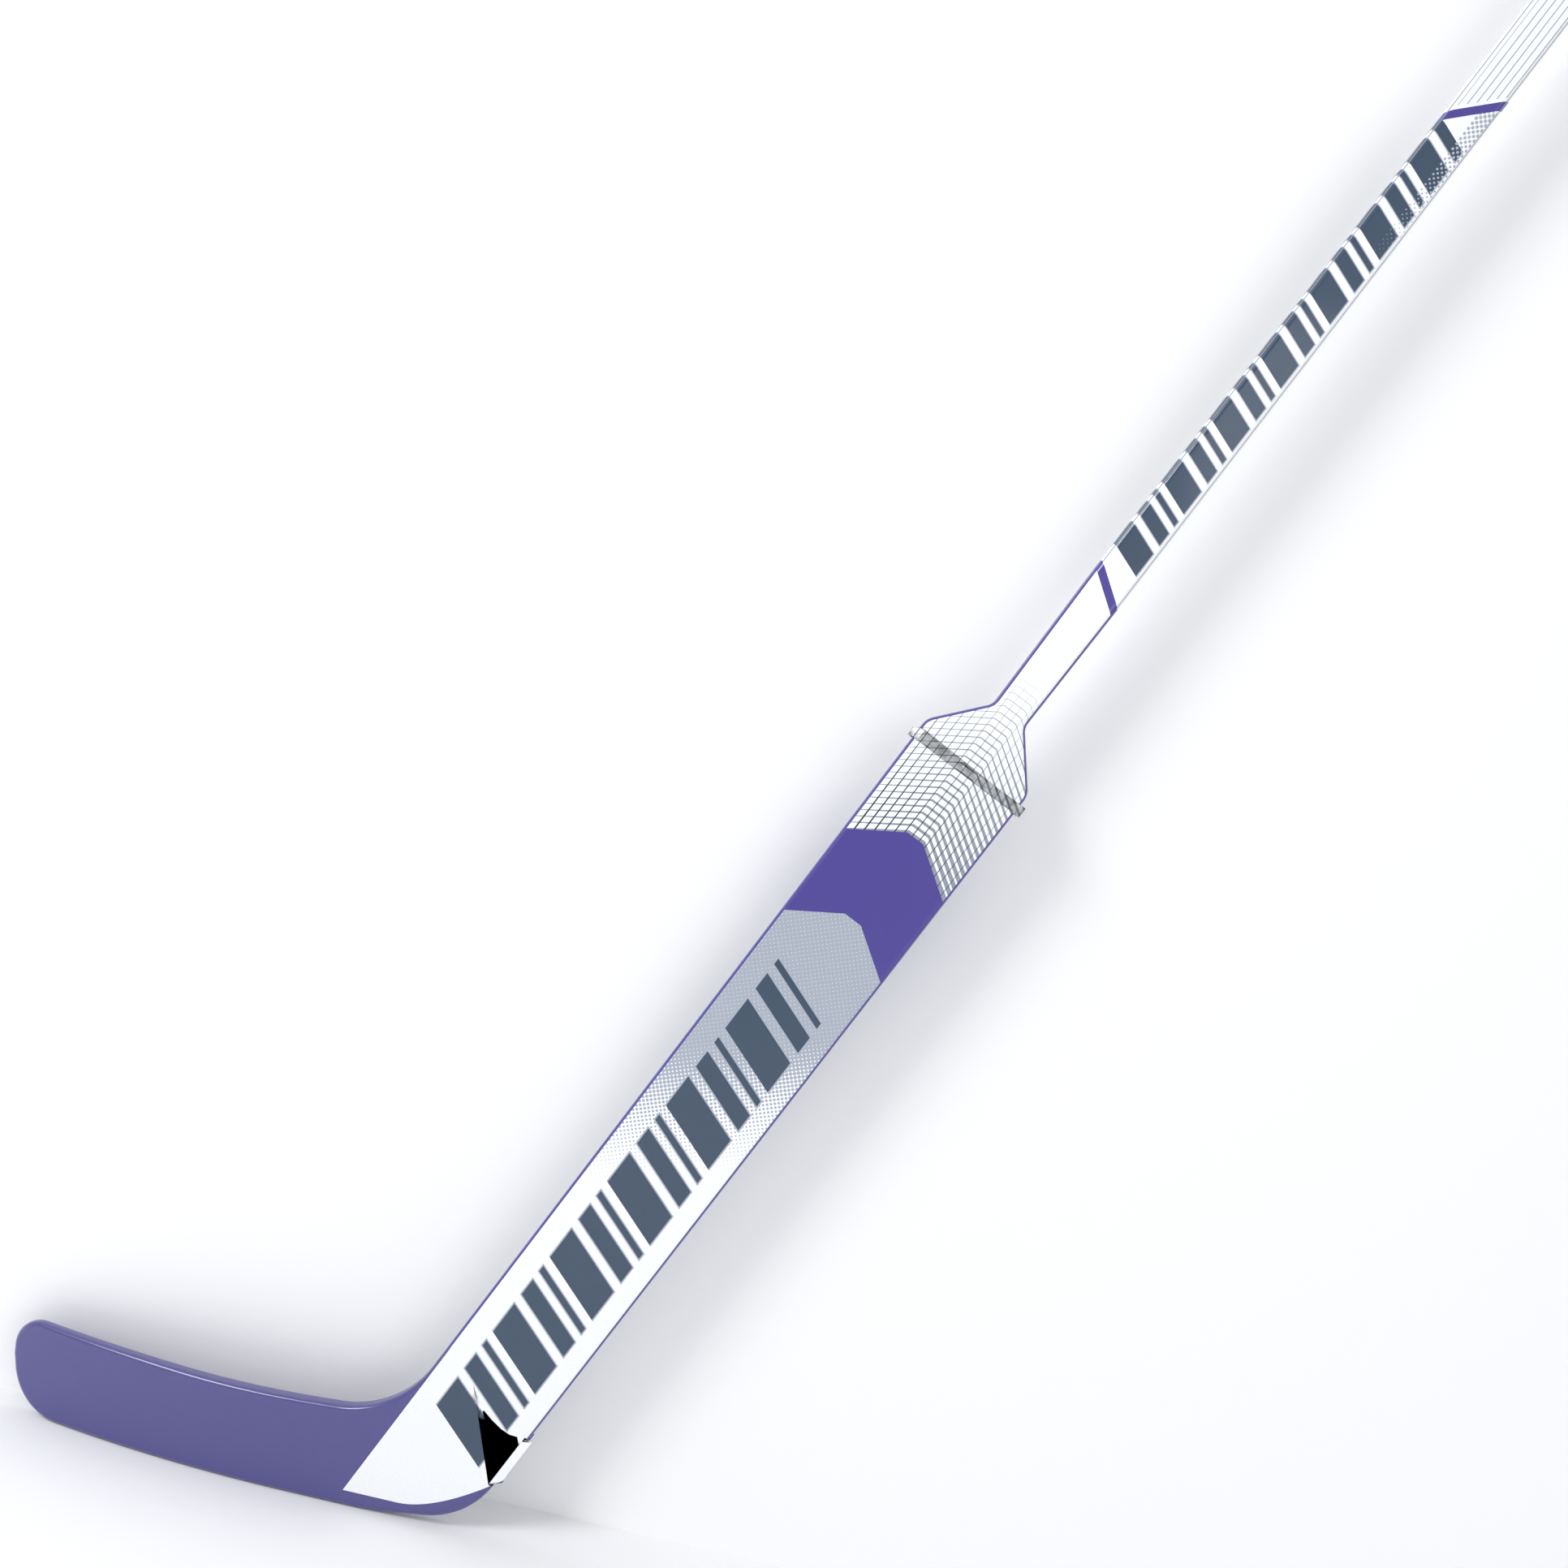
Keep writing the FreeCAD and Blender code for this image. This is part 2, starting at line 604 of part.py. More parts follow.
shaft_print = new_body("shaft_print")
pad(shaft_print, section_at(shaft_print, "print_outside", "0", "film"), "print_wrap", "shaft_print_length")
print_bore = shaft_print.newObject("PartDesign::Pocket", "print_bore")
print_bore.Profile = section_at(shaft_print, "print_inside")
print_bore.Reversed = True
bind(print_bore, Length="shaft_print_length")
stand_on_axis(shaft_print, TAPER_END)

# Export -------------------------------------------------------------------------------------------------

NODES = [
    "shaft_tube", "butt_plug", "shoulder_block", "paddle_stem",
    "paddle_core_left", "paddle_core_right", "paddle_front_skin", "paddle_back_skin",
    "paddle_rail_left", "paddle_rail_right", "heel_block",
    "blade_core_lower", "blade_core_upper", "blade_rib", "blade_front_skin", "blade_back_skin",
    "blade_top_rail", "blade_sole_rail", "toe_cap",
    "paddle_print_front", "paddle_print_back", "shaft_print",
]

doc.recompute()
for item in doc.Objects:
    if "Invalid" in item.State or "Error" in item.State:
        raise RuntimeError(f"{item.Name} did not build: {item.State}")

os.makedirs("parts", exist_ok=True)
for name in NODES:
    shape = doc.getObject(name).Shape
    if shape.isNull() or not shape.isValid():
        raise RuntimeError(f"{name} has no valid shape")
    print(f"{name}: {len(shape.Solids)} solid, {shape.Volume / 1000:.1f} cm3")
    shape.exportStep(f"parts/{name}.step")
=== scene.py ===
# %% [markdown]
# # A goaltender's ice hockey stick
# The stick is a moulded laminate: a curved blade, a wide flat paddle and a narrow rounded shaft under one
# clear coat. The frame holds the true construction. Here the outer surfaces are made again as smooth numpy
# grids, and the printed pattern is worked out in a material from real millimetre sizes.

# %% Load the frame
import json
import math

import bpy
import numpy as np
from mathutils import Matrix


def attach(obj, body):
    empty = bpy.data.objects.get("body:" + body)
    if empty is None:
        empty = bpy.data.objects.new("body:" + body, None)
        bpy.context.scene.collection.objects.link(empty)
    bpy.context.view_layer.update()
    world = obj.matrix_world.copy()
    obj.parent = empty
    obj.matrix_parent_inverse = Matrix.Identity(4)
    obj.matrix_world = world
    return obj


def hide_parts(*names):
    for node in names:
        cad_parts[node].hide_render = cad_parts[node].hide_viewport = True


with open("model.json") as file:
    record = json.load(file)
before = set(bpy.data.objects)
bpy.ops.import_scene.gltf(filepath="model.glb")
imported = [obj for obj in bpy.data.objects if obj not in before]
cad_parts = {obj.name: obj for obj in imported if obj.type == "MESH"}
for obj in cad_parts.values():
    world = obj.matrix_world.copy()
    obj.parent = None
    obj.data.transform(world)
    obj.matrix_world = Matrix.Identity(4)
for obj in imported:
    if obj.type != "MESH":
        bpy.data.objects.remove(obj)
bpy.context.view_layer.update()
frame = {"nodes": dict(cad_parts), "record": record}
print("nodes in the frame:", len(frame["nodes"]))

# %% [markdown]
# The frame's mounts say where the stick's axis runs. Two directions describe everything on the paddle:
# "along" goes up the stick from the heel's corner, and "across" goes from the paddle's centre line to the
# heel side. All sizes below are in millimetres, and become metres only when a mesh is made.

# %% Directions and driving sizes
MM = 0.001
mounts = {mount["name"]: mount for mount in frame["record"]["mounts"]}
axis_up = np.array(mounts["butt_end"]["axis"], float)
LIE = math.atan2(axis_up[2], axis_up[0])
STICK_LENGTH = 1560.0
PADDLE_WIDTH = 89.0
PADDLE_LENGTH = 684.0
NECK = PADDLE_LENGTH + 36.0
TAPER_END = NECK + 105.0
SEAM = 90.0
PLUG_START = STICK_LENGTH - 6.0
HEEL_X = PADDLE_WIDTH / math.sin(LIE)
TOE_X = HEEL_X - 370.0
CURVE_START = -35.0
CURVE_DEPTH = 28.0
HEEL_HALF, NECK_HALF, SHAFT_HALF, TOE_HALF = 6.5, 9.5, 10.0, 4.25
NECK_WIDTH, SHAFT_WIDTH = 27.6, 30.0
EDGE_RADIUS, SHAFT_CORNER = 3.6, 4.8


def at(along, across):
    """The X and Z of a place given by how far it is along and across the stick."""
    side = across - PADDLE_WIDTH / 2
    return (HEEL_X + along * math.cos(LIE) + side * math.sin(LIE),
            along * math.sin(LIE) - side * math.cos(LIE))


def along_across(x, z):
    """The inverse of at(), for whole arrays."""
    along = (x - HEEL_X) * math.cos(LIE) + z * math.sin(LIE)
    across = (x - HEEL_X) * math.sin(LIE) - z * math.cos(LIE) + PADDLE_WIDTH / 2
    return along, across


print("lie angle", round(math.degrees(LIE), 2), "heel at x", round(HEEL_X, 1), "mm")

# %% [markdown]
# The outline of such a moulding is straight runs joined by tangent arcs, as a pattern maker would draw it.
# One path runs over the top of the blade and up the inner edge, and the other along the sole, round the
# heel and up the outer edge. Joined by rungs, like a ladder, they give the stick's faces.

# %% The two edges of the outline

def rounded_path(corners, step=0.4):
    """Points every step along straight runs whose corners (x, z, radius) are rounded by tangent arcs.

    A tangent arc starts radius / tan(half the corner's angle) before the corner.
    """
    spots = np.array([corner[:2] for corner in corners], float)
    pieces = [spots[:1]]
    for before, here, after, radius in zip(spots, spots[1:], spots[2:], [c[2] for c in corners[1:]]):
        back = (before - here) / np.linalg.norm(before - here)
        onward = (after - here) / np.linalg.norm(after - here)
        half = math.acos(np.clip(back @ onward, -1, 1)) / 2
        centre = here + (back + onward) / np.linalg.norm(back + onward) * radius / math.sin(half)
        first = here + back * radius / math.tan(half) - centre
        turn = math.pi - 2 * half
        sense = math.copysign(1, back[1] * onward[0] - back[0] * onward[1])
        angles = sense * np.linspace(0, turn, max(8, int(radius * turn / step)))
        cos, sin = np.cos(angles), np.sin(angles)
        pieces.append(centre + np.stack([first[0] * cos - first[1] * sin,
                                         first[0] * sin + first[1] * cos], 1))
    pieces.append(spots[-1:])
    return np.concatenate(pieces)


TOE_MIDDLE = (TOE_X + 2.5, 42.0)
HALF = PADDLE_WIDTH / 2
heel_rise = 10.0 / math.sin(LIE)
throat_rise = (77.0 - PADDLE_WIDTH * math.cos(LIE)) / math.sin(LIE)
inner_edge = rounded_path([
    (*TOE_MIDDLE, 0), (TOE_X, 73.0, 22), (HEEL_X - 178, 69.5, 1400), (*at(throat_rise, -HALF), 76),
    (*at(PADDLE_LENGTH, -HALF), 13), (*at(NECK, -NECK_WIDTH / 2), 10),
    (*at(TAPER_END, -SHAFT_WIDTH / 2), 900), (*at(PLUG_START, -SHAFT_WIDTH / 2), 0)])
outer_edge = rounded_path([
    (*TOE_MIDDLE, 0), (TOE_X + 14, 0.0, 44), (HEEL_X - 70, 0.0, 340), (*at(heel_rise, HALF), 60),
    (*at(PADDLE_LENGTH, HALF), 13), (*at(NECK, NECK_WIDTH / 2), 10),
    (*at(TAPER_END, SHAFT_WIDTH / 2), 900), (*at(PLUG_START, SHAFT_WIDTH / 2), 0)])
print("edge points:", len(inner_edge), len(outer_edge))

# %% [markdown]
# The rungs of the ladder must meet both edges at matching places, so each edge is cut at the same
# landmarks (toe, throat, seam, shoulders, neck, shaft) and each stretch gets the same number of points.

# %% Matching stations on the two edges

def resample(path, landmarks, counts):
    """Points along a path: evenly spaced between the places nearest to each landmark."""
    travelled = np.concatenate([[0], np.cumsum(np.linalg.norm(np.diff(path, axis=0), axis=1))])
    nearest = [int(np.argmin(np.linalg.norm(path - np.array(mark), axis=1))) for mark in landmarks]
    stops = [0.0] + [travelled[index] for index in nearest] + [travelled[-1]]
    distances = np.concatenate([np.linspace(low, high, count, endpoint=False)
                                for low, high, count in zip(stops, stops[1:], counts)] + [[stops[-1]]])
    return np.stack([np.interp(distances, travelled, path[:, k]) for k in (0, 1)], 1)


def neat(path, landmarks):
    """Add the landmarks to a path, so that a station falls exactly on each."""
    for mark in landmarks:
        gaps = np.linalg.norm(path - np.array(mark), axis=1)
        index = int(np.argmin(gaps))
        ahead = np.linalg.norm(path[min(index + 1, len(path) - 1)] - mark)
        behind = np.linalg.norm(path[index - 1] - mark)
        path = np.insert(path, index + 1 if ahead < behind else index, mark, axis=0)
    return path


RUNS = (("toe", 26), ("blade", 60), ("throat", 44), ("paddle", 90), ("shoulder", 40), ("taper", 16),
        ("shaft", 60))
counts = [count for name, count in RUNS]
inner_marks = [(TOE_X + 55, 72.4), (-12.0, 72.9), at(SEAM, -HALF), at(668, -HALF),
               at(NECK + 6, -NECK_WIDTH / 2 - 0.07), at(TAPER_END, -SHAFT_WIDTH / 2)]
outer_marks = [(TOE_X + 55, 0.0), (-2.0, 0.0), at(SEAM, HALF), at(668, HALF),
               at(NECK + 6, NECK_WIDTH / 2 + 0.07), at(TAPER_END, SHAFT_WIDTH / 2)]
straight = [2, 3]
inner_edge = neat(inner_edge, [inner_marks[k] for k in straight])
outer_edge = neat(outer_edge, [outer_marks[k] for k in straight])
inner = resample(inner_edge, inner_marks, counts)
outer = resample(outer_edge, outer_marks, counts)
print("stations:", len(inner))


# %% [markdown]
# The blade's faces are flat at the heel and then bend away in an arc. The paddle thickens slowly up to the
# neck. Both are simple formulas of where a point lies, so any grid of points can ask for its depth.

# %% How deep the stick is at a place

def arc_depth(x, depth_at_toe):
    """Depth of a tangent arc that starts flat and reaches depth_at_toe at the toe: R minus sqrt(R2 - x2)."""
    run = CURVE_START - TOE_X
    radius = (run ** 2 + depth_at_toe ** 2) / (2 * depth_at_toe)
    past = np.clip(CURVE_START - x, 0, None)
    return radius - np.sqrt(radius ** 2 - past ** 2)


def middle_and_half(x, z):
    """The Y of mid-thickness, and half the thickness, at each place."""
    along, _ = along_across(x, z)
    half = np.interp(along, [SEAM, NECK, TAPER_END], [HEEL_HALF, NECK_HALF, SHAFT_HALF])
    half = np.where(x < HEEL_X - 60, HEEL_HALF, half)
    front = -half + arc_depth(x, CURVE_DEPTH - TOE_HALF + HEEL_HALF)
    back = half + arc_depth(x, CURVE_DEPTH + TOE_HALF - HEEL_HALF)
    return (front + back) / 2, (back - front) / 2


# %% [markdown]
# At each station the section is a flat bar with rounded edges: across the front face, round one edge, back
# across the other face and round the other edge. The list of sections is the whole skin, as a grid of
# "station" by "way round". Its distance from the edge is kept as an attribute for the paint line.

# %% The skin as one grid
FACE_STEPS = 14
ROUND_STEPS = 9


def inward(edge, sign):
    """Unit vectors at right angles to an edge, pointing into the stick."""
    ahead = np.gradient(edge, axis=0)
    ahead /= np.linalg.norm(ahead, axis=1, keepdims=True)
    return sign * np.stack([ahead[:, 1], -ahead[:, 0]], 1)


def skin_grid():
    """(station, way round) grids of X, Y, Z and of the distance in from the edge."""
    into_inner, into_outer = inward(inner, 1), inward(outer, -1)
    into_inner[0] = into_outer[0] = (1.0, 0.0)
    along, _ = along_across(inner[:, 0], inner[:, 1])
    corner = np.interp(along, [NECK - 60, NECK + 6], [EDGE_RADIUS, SHAFT_CORNER])
    corner = np.where(inner[:, 0] < HEEL_X - 60, EDGE_RADIUS, corner)[:, None]
    swing = np.linspace(0, math.pi / 2, ROUND_STEPS)
    inset = corner * (1 - np.sin(swing))
    drop = corner * (1 - np.cos(swing))
    columns = []

    def column(points, side, sink, edge):
        middle, half = middle_and_half(points[..., 0], points[..., 1])
        y = middle + side * (half - sink)
        columns.append(np.stack([points[..., 0], y, points[..., 1], np.broadcast_to(edge, y.shape)], -1))

    share = (0.5 - 0.5 * np.cos(np.linspace(0, math.pi, FACE_STEPS)))[None, :, None]
    flat = np.broadcast_to(corner, (len(inner), FACE_STEPS))
    left = (inner + into_inner * corner)[:, None]
    right = (outer + into_outer * corner)[:, None]
    across = left + (right - left) * share
    depth = flat + 20 * np.minimum(share[..., 0], 1 - share[..., 0])
    outer_round = outer[:, None] + into_outer[:, None] * inset[..., None]
    inner_round = inner[:, None] + into_inner[:, None] * inset[..., None]
    column(across, -1, 0, depth)
    column(outer_round[:, 1:], -1, drop[:, 1:], inset[:, 1:])
    column(outer_round[:, ::-1], 1, drop[:, ::-1], inset[:, ::-1])
    column(across[:, ::-1][:, 1:], 1, 0, depth[:, 1:])
    column(inner_round[:, 1:], 1, drop[:, 1:], inset[:, 1:])
    column(inner_round[:, ::-1][:, :-1], -1, drop[:, ::-1][:, :-1], inset[:, ::-1][:, :-1])
    return np.concatenate(columns, 1)


grid = skin_grid()
print("skin grid:", grid.shape[:2])


# %% [markdown]
# A grid becomes a mesh by giving each cell its four corners. The ends are closed with one face each, whose
# rim is marked sharp so that the light does not bend round it.

# %% From a grid to a piece

def piece_from_grid(name, cells, nodes, close_start=True):
    """A closed mesh from (station, way round) points: quads between stations, and a cap at each end."""
    rows, around = cells.shape[:2]
    index = np.arange(rows * around).reshape(rows, around)
    after = np.roll(index, -1, axis=1)
    quads = np.stack([index[:-1], index[1:], after[1:], after[:-1]], -1).reshape(-1, 4)
    caps = [index[-1].tolist()]
    if close_start:
        caps.append(index[0][::-1].tolist())
    mesh = bpy.data.meshes.new(name)
    points = cells[..., :3].reshape(-1, 3) * MM
    mesh.from_pydata(points.tolist(), [], quads.tolist() + caps)
    mesh.attributes.new("edge", "FLOAT", "POINT").data.foreach_set("value", cells[..., 3].ravel())
    mesh.validate()
    mesh.shade_smooth()
    piece = bpy.data.objects.new(name, mesh)
    bpy.context.collection.objects.link(piece)
    bpy.context.view_layer.objects.active = piece
    import bmesh
    work = bmesh.new()
    work.from_mesh(mesh)
    bmesh.ops.remove_doubles(work, verts=work.verts, dist=2e-6)
    bmesh.ops.recalc_face_normals(work, faces=work.faces)
    for face in work.faces:
        if len(face.verts) > 4:
            for edge in face.edges:
                edge.smooth = False
    work.to_mesh(mesh)
    work.free()
    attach(piece, "root")
    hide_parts(*nodes)
    print(name, "faces", len(mesh.polygons))
    return piece


starts = np.concatenate([[0], np.cumsum(counts)])
seam_row, neck_row = int(starts[3]), int(starts[5])
blade_skin = piece_from_grid(
    "blade_moulding", grid[:seam_row + 1],
    ["blade_front_skin", "blade_back_skin", "blade_top_rail", "blade_sole_rail", "toe_cap", "heel_block"],
    close_start=False)
paddle_skin = piece_from_grid(
    "paddle_moulding", grid[seam_row:neck_row + 1],
    ["paddle_front_skin", "paddle_back_skin", "paddle_rail_left", "paddle_rail_right", "shoulder_block",
     "paddle_print_front", "paddle_print_back"])
shaft_skin = piece_from_grid("shaft_moulding", grid[neck_row:],
                             ["shaft_tube", "shaft_print"])

# %% [markdown]
# The end plug is moulded rubber, pushed into the shaft's open end. Its flange has a softly rounded rim, a
# shallow groove round it and a slightly crowned end. It is the same flat-bar section carried up the axis,
# drawn in by a different amount at each height.

# %% The butt end plug
plug_profile = np.array([
    [0.0, 0.25], [0.0, 0.02], [0.7, 0.0], [1.6, 0.0], [1.9, 0.45], [2.3, 0.6], [2.7, 0.45], [3.0, 0.0],
    [3.6, 0.0], [4.5, 0.15], [5.2, 0.6], [5.7, 1.3], [5.95, 2.2], [6.0, 3.4], [6.0, 5.0], [6.0, 7.5]])


def plug_grid():
    """Rounded sections at each height of the profile: half width and corner both lose the inset."""
    angles = np.linspace(0, 2 * math.pi, 64, endpoint=False)
    cos, sin = np.cos(angles), np.sin(angles)
    inset = plug_profile[:, 1:]
    corner = np.maximum(SHAFT_CORNER - inset, 0.6)
    across = (SHAFT_WIDTH / 2 - inset - corner) * np.sign(np.round(cos, 9)) + corner * cos
    depth = (SHAFT_HALF - inset - corner) * np.sign(np.round(sin, 9)) + corner * sin
    along = np.broadcast_to(PLUG_START + plug_profile[:, :1], across.shape)
    side = across - PADDLE_WIDTH / 2
    x = HEEL_X + along * math.cos(LIE) + side * math.sin(LIE)
    z = along * math.sin(LIE) - side * math.cos(LIE)
    return np.stack([x, depth, z, np.zeros_like(x)], -1)


plug = piece_from_grid("end_plug", plug_grid(), ["butt_plug"])

# %% [markdown]
# ## Finishes
# A colour is written as the sRGB hex that a paint card shows, and one function turns it linear, because
# Blender mixes light in linear values. One small function adds any node with its settings and links.

# %% Colour and node helpers

def paint(hex_code):
    """sRGB hex to linear red, green, blue, alpha."""
    values = np.array([int(hex_code[k:k + 2], 16) for k in (0, 2, 4)]) / 255
    linear = np.where(values <= 0.04045, values / 12.92, ((values + 0.055) / 1.055) ** 2.4)
    return (*linear.tolist(), 1.0)


def new_material(name):
    """An empty material, and the function that adds a node to it and returns one of its outputs."""
    material = bpy.data.materials.new(name)
    material.use_nodes = True
    tree = material.node_tree
    tree.nodes.clear()

    def add(kind, *inputs, out=0, **settings):
        node = tree.nodes.new(kind)
        named = settings.pop("sockets", {})
        for key, value in settings.items():
            setattr(node, key, value)
        for key, value in [*enumerate(inputs), *named.items()]:
            if value is None:
                continue
            if isinstance(value, bpy.types.NodeSocket):
                tree.links.new(value, node.inputs[key])
            else:
                node.inputs[key].default_value = value
        return node.outputs[out] if len(node.outputs) else node

    return material, add


MATH, MIX = "ShaderNodeMath", "ShaderNodeMix"

# %% [markdown]
# The print is one film of ink under clear coat. A Mapping node turns the object's own coordinates to
# millimetres along and across the stick, and everything printed is a rule in those two numbers: bands,
# bars, dots and lines. The marks are plain slanted bars that spell nothing. A thin grey line along the shaft's
# rounded corners is not print but painted shade.

# %% The printed, clear-coated laminate
WHITE, PURPLE, BLADE_PURPLE = paint("F1F3F6"), paint("43368F"), paint("4A4585")
NAVY, SILVER, GREY, INK = paint("2B4159"), paint("A3ABB9"), paint("8B94A3"), paint("20242B")


def printed_laminate():
    material, add = new_material("Printed_carbon_laminate_clear_coated")
    place = add("ShaderNodeTexCoord", out=3)
    base_x, base_z = at(0, 0)
    local = add("ShaderNodeMapping", place, (base_x * MM, 0, base_z * MM), (0, math.pi / 2 - LIE, 0),
                (MM, MM, MM), vector_type="TEXTURE")
    parts = add("ShaderNodeSeparateXYZ", local).node
    across, along = parts.outputs[0], parts.outputs[2]
    height = add("ShaderNodeSeparateXYZ", place, out=2)
    edge = add("ShaderNodeAttribute", out=2, attribute_name="edge")

    def op(operation, first, second=0.0):
        return add(MATH, first, second, operation=operation)

    def between(value, low, high):
        return op("MULTIPLY", op("GREATER_THAN", value, low), op("LESS_THAN", value, high))

    def ink(under, colour, mask):
        return add(MIX, data_type="RGBA", out=2, sockets={0: mask, 6: under, 7: colour})

    # Slanted bars: a repeat of wide, middle and narrow bars along a sheared length.
    def bars(shear, start, end, repeat, widths, low, high, grow):
        sheared = op("ADD", along, op("MULTIPLY", across, shear))
        turn = op("MULTIPLY", op("FRACT", op("DIVIDE", op("SUBTRACT", sheared, start), repeat)), repeat)
        mask = 0.0
        for first, last in widths:
            mask = op("MAXIMUM", mask, between(turn, first - grow, last + grow))
        kept = op("MULTIPLY", between(sheared, start - grow, end), between(across, low - grow, high + grow))
        return op("MULTIPLY", mask, kept)

    # Halftone dots on a diagonal grid, about 2.8 mm apart; dot is the radius as a share of the cell.
    def dots(dot):
        first = op("FRACT", op("DIVIDE", op("ADD", along, across), 4.0))
        second = op("FRACT", op("DIVIDE", op("SUBTRACT", along, across), 4.0))
        offset = add("ShaderNodeCombineXYZ", op("SUBTRACT", first, 0.5), op("SUBTRACT", second, 0.5), 0.0)
        distance = add("ShaderNodeVectorMath", offset, operation="LENGTH", out=1)
        return op("LESS_THAN", distance, dot)

    # Paddle: a field of dots that swell into silver, ending in an arrow, then purple, then a fading grid.
    spread = op("MAXIMUM", op("SUBTRACT", op("ABSOLUTE", across), 7.0), 0.0)
    arrow = op("ADD", along, op("MULTIPLY", spread, 0.667))
    field_start = op("ADD", op("MULTIPLY", across, 0.86), 295.0)
    swell = op("DIVIDE", op("SUBTRACT", along, field_start), 240.0)
    dot = op("MINIMUM", op("MULTIPLY", swell, 1.1), 0.62)
    colour = ink(WHITE, SILVER, op("MULTIPLY", dots(dot), between(arrow, 150.0, 541.0)))
    for grow, ink_colour in ((1.1, SILVER), (0.0, NAVY)):
        mask = bars(0.36, 60.0, 486.0, 71.0, ((0, 27), (36, 50), (58, 63)), -25.0, 27.0, grow)
        colour = ink(colour, ink_colour, mask)
    colour = ink(colour, PURPLE, between(arrow, 541.0, 613.0))
    side_share = op("DIVIDE", op("ADD", across, HALF), PADDLE_WIDTH)
    fade = op("SUBTRACT", 1.0, op("DIVIDE", op("SUBTRACT", along, 600.0), 150.0))
    fade = op("MINIMUM", op("MAXIMUM", fade, 0.0), 1.0)
    rung = op("FRACT", op("DIVIDE", op("SUBTRACT", arrow, 613.0), 5.5))
    rung_width = op("MULTIPLY", op("ADD", op("MULTIPLY", side_share, 0.62), 0.12), fade)
    on_grid = between(arrow, 613.0, 770.0)
    colour = ink(colour, GREY, op("MULTIPLY", op("LESS_THAN", rung, rung_width), on_grid))
    line = op("FRACT", op("DIVIDE", op("ADD", across, HALF), 5.93))
    line_width = op("MULTIPLY", op("SUBTRACT", 0.2, op("MULTIPLY", side_share, 0.13)), fade)
    colour = ink(colour, INK, op("MULTIPLY", op("LESS_THAN", line, line_width), on_grid))

    # Shaft: two slanted bands, bars between them, dots up to the second, pinstripes above it, and painted
    # corner shade.
    for grow, ink_colour in ((0.8, SILVER), (0.0, NAVY)):
        mask = bars(0.36, 850.0, 1196.0, 52.0, ((0, 19), (26, 36), (42, 46)), -20.0, 10.5, grow)
        colour = ink(colour, ink_colour, mask)
    late = op("DIVIDE", op("SUBTRACT", along, 1090.0), 150.0)
    shaft_dots = op("MULTIPLY", dots(op("MULTIPLY", late, 0.5)), between(across, 3.0, 13.5))
    colour = ink(colour, SILVER, op("MULTIPLY", shaft_dots, between(along, 1090.0, 1225.0)))
    lower_band = op("ADD", along, op("MULTIPLY", across, 0.69))
    upper_band = op("SUBTRACT", along, across)
    colour = ink(colour, PURPLE, between(lower_band, 824.5, 831.5))
    colour = ink(colour, PURPLE, between(upper_band, 1213.5, 1221.0))
    stripe = op("FRACT", op("DIVIDE", op("ADD", across, 11.2), 4.5))
    striped = op("MULTIPLY", between(across, -11.0, 12.0), op("GREATER_THAN", upper_band, 1224.0))
    colour = ink(colour, GREY, op("MULTIPLY", op("LESS_THAN", stripe, 0.13), striped))
    # Painted shade: a thin grey line on the shaft's rounded corners above the lower band, darkening where they
    # turn from the light.
    colour = ink(colour, GREY, op("MULTIPLY", between(edge, 1.1, 1.7), op("GREATER_THAN", lower_band, 831.5)))

    # Purple edges up to the lower band, and the purple blade below the white panel's curved foot.
    colour = ink(colour, PURPLE, op("MULTIPLY", op("LESS_THAN", edge, 1.9), op("LESS_THAN", lower_band, 831.5)))
    bow = op("MAXIMUM", op("ADD", across, 5.0), 0.0)
    foot = op("ADD", op("MULTIPLY", op("MULTIPLY", bow, bow), 0.0127), 12.0)
    panel = op("MULTIPLY", op("GREATER_THAN", op("MULTIPLY", height, 1000.0), foot),
               op("GREATER_THAN", across, -42.4))
    panel = op("MAXIMUM", panel, op("GREATER_THAN", along, 110.0))
    colour = ink(BLADE_PURPLE, colour, panel)

    # Faint mottling of the ink, and the slight waviness ("orange peel") of a sprayed clear coat.
    mottle = add("ShaderNodeTexNoise", place, sockets={"Scale": 900.0, "Detail": 3.0})
    tint = add("ShaderNodeMapRange", mottle, 0.3, 0.7, 0.95, 1.03)
    colour = add("ShaderNodeVectorMath", colour, tint, operation="MULTIPLY")
    ripple = add("ShaderNodeTexNoise", place, sockets={"Scale": 260.0, "Detail": 2.0})
    bump = add("ShaderNodeBump", sockets={"Strength": 0.05, "Distance": 0.0004, "Height": ripple})
    shader = add("ShaderNodeBsdfPrincipled", sockets={
        "Base Color": colour, "Roughness": 0.34, "IOR": 1.5, "Coat Weight": 0.6, "Coat Roughness": 0.08,
        "Normal": bump})
    add("ShaderNodeOutputMaterial", shader)
    return material


laminate = printed_laminate()
for piece in (blade_skin, paddle_skin, shaft_skin):
    piece.data.materials.clear()
    piece.data.materials.append(laminate)

# %% [markdown]
# The end plug is matt black rubber: soft, with a broad sheen and a fine moulded grain. The hidden pieces
# inside the stick get honest finishes too, since they show when the stick is taken apart: birch with its
# grain along the stick, and closed-cell foam with its small bubbles.

# %% Rubber, birch and foam

